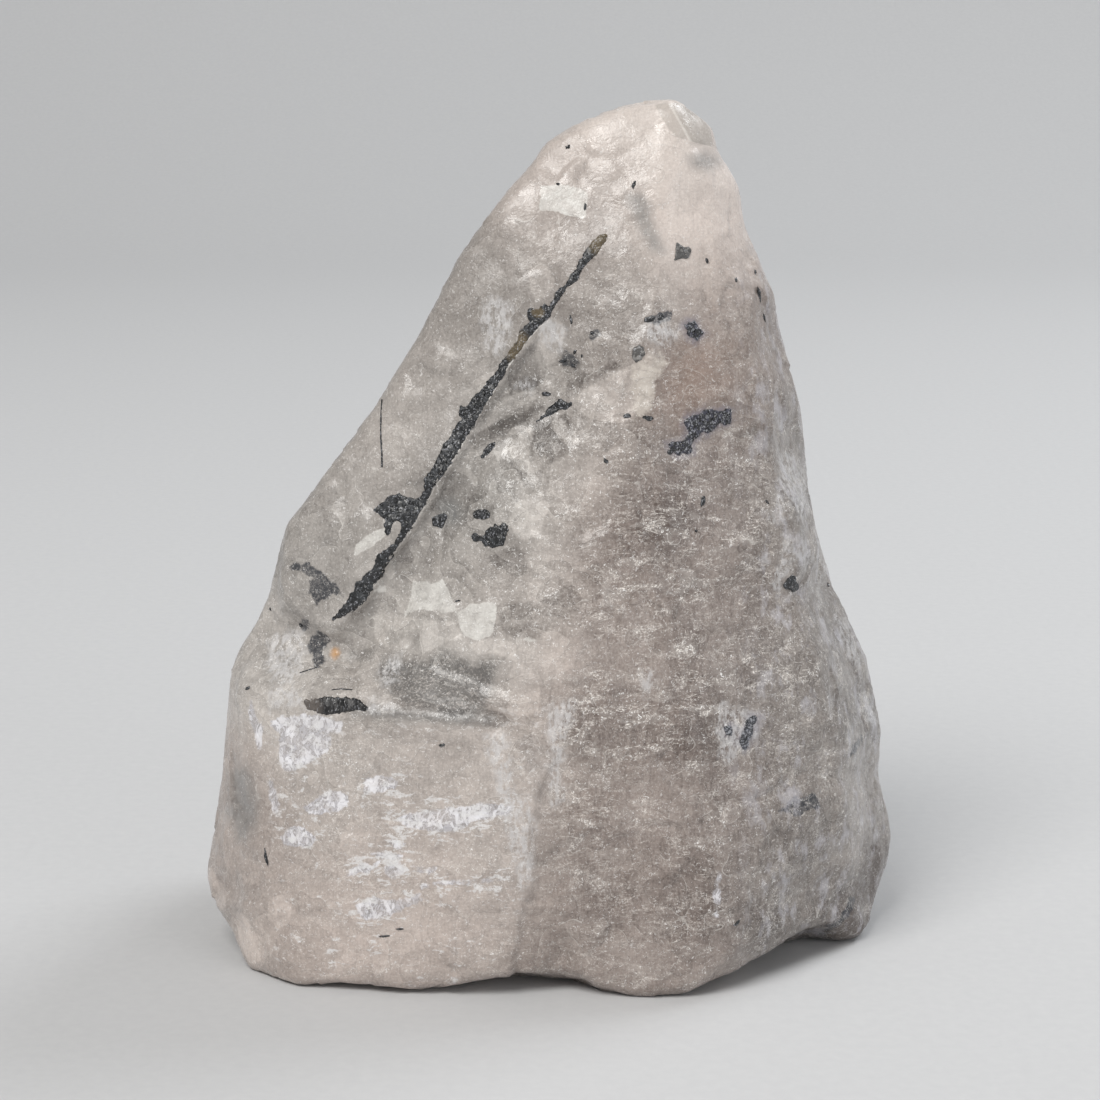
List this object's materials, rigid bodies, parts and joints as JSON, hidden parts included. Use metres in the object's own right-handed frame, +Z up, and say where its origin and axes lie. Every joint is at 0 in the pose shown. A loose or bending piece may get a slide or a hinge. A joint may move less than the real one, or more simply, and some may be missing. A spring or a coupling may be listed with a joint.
{
  "type": "tourmalinated quartz",
  "caption": "Free-standing broken lump of milky quartz, narrow at the top, with black tourmaline needles and grains set in its surface.",
  "frame": {"origin": "middle of the underside, on the surface that the stone stands on", "axes": "+Z up, +Y away from the front face that holds the long needle, +X to the right as the front is seen"},
  "size_m": [0.0664, 0.046, 0.08],
  "materials": {
    "quartz": "milky, translucent at thin edges, broken satin surface with fine white flecks",
    "tourmaline": "black, glassy, striated along its length and granular"
  },
  "bodies": {
    "root": {"quartz_stone": "quartz", "long_needle": "tourmaline", "ledge_prism": "tourmaline", "right_slab": "tourmaline", "upper_grain": "tourmaline", "lower_grain": "tourmaline", "hollow_sliver": "tourmaline", "star_grain": "tourmaline", "small_block": "tourmaline", "square_grain": "tourmaline", "side_grain": "tourmaline", "low_right_cluster": "tourmaline", "right_side_prism": "tourmaline", "back_needle": "tourmaline", "back_cluster": "tourmaline"}
  },
  "joints": []
}
